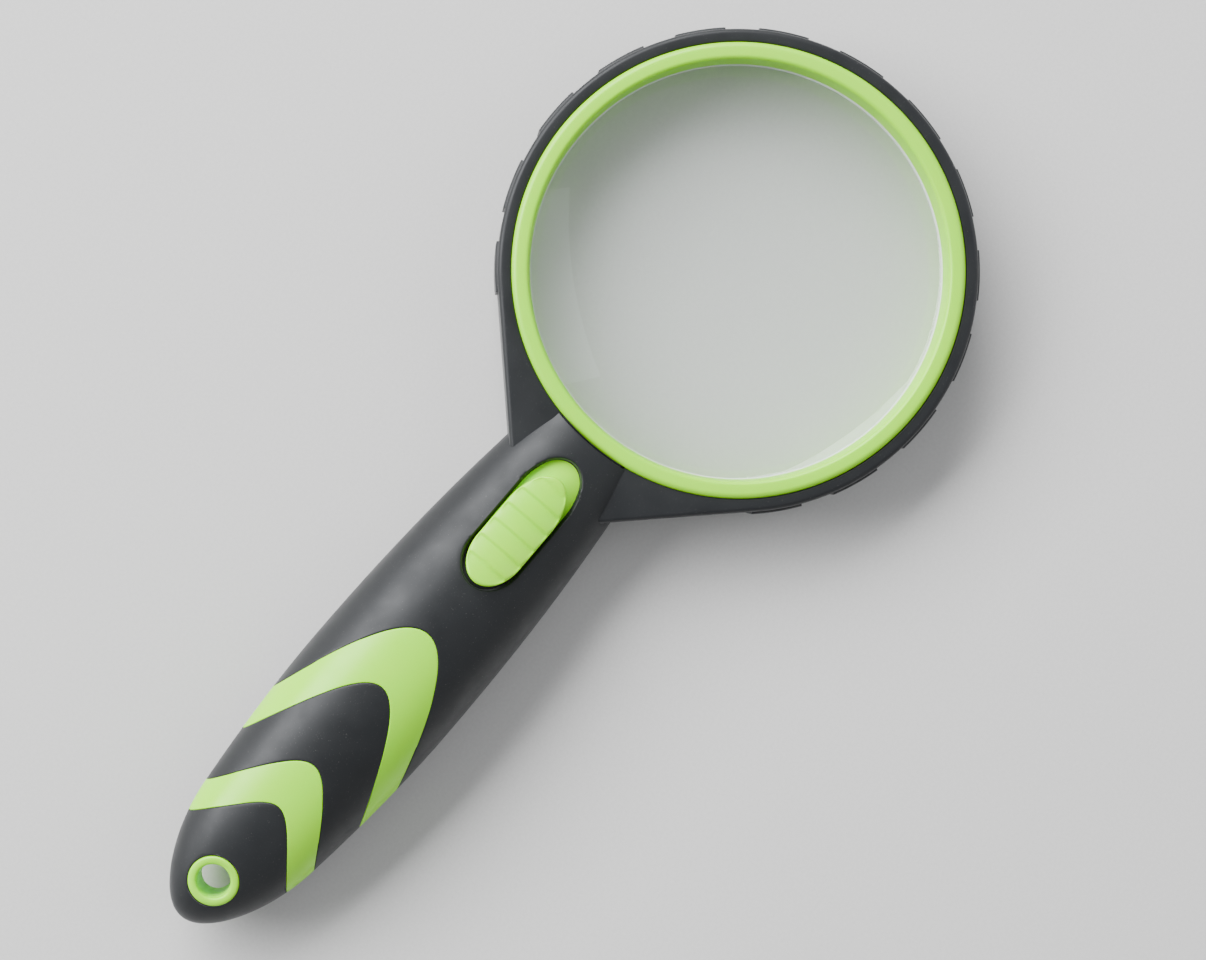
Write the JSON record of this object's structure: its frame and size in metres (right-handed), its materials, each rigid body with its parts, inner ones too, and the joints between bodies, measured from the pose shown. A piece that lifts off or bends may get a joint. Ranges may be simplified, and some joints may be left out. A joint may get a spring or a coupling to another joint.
{
  "type": "hand lens",
  "caption": "Hand lens with a clear round lens in a rubber-edged ring, a soft-grip handle with green chevrons, a sliding thumb switch and a lanyard eye.",
  "frame": {"origin": "under the middle of the outer box, on the plane that the object lies on", "axes": "+X from the tail of the handle to the far edge of the ring, +Z out of the face the user looks through, +Y across"},
  "size_m": [0.1922, 0.0856, 0.021],
  "materials": {
    "lens": "polished",
    "gasket": "translucent, soft",
    "frame_plastic": "moulded",
    "green_plastic": "moulded, semi-gloss",
    "rubber": "soft-touch, matt",
    "switch_steel": "stamped",
    "board": "printed board",
    "black_plastic": "moulded",
    "lamp": "clear epoxy",
    "window": "clear, moulded",
    "cell_steel": "nickel plated",
    "contact": "stamped",
    "red_wire": "insulation",
    "black_wire": "insulation",
    "white_wire": "insulation",
    "screw_steel": "zinc plated",
    "white_plastic": "moulded"
  },
  "bodies": {
    "lens_body": {"lens": "lens", "lens_gasket": "gasket", "rim_frame": "frame_plastic", "front_bezel": "green_plastic", "rear_bezel": "green_plastic", "rim_tyre": "rubber", "upper_shell": "green_plastic", "lower_shell": "green_plastic", "upper_grip": "rubber", "lower_grip": "rubber", "slide_switch": "switch_steel", "circuit_board": "board", "resistor": "black_plastic", "lamp_board": "board", "led_left": "lamp", "led_right": "lamp", "lamp_window": "window", "button_cell_1": "cell_steel", "button_cell_2": "cell_steel", "button_cell_3": "cell_steel", "contact_spring": "contact", "contact_plate": "contact", "lead_red": "red_wire", "lead_black": "black_wire", "lamp_leads": "white_wire", "housing_screws": "screw_steel", "lanyard_bush": "green_plastic"},
    "thumb_slide_body": {"thumb_slide": "green_plastic", "slide_carrier": "white_plastic", "switch_lever": "black_plastic"},
    "door_body": {"battery_door": "black_plastic", "door_screws": "screw_steel"}
  },
  "joints": [
    {"name": "thumb_slide_travel", "type": "slide", "parent": "lens_body", "child": "thumb_slide_body", "axis": [0.9923, 0, -0.1236], "range_m": [0, 0.0035]},
    {"name": "door_lift", "type": "slide", "parent": "lens_body", "child": "door_body", "axis": [0, 0, -1], "range_m": [0, 0.03]}
  ]
}
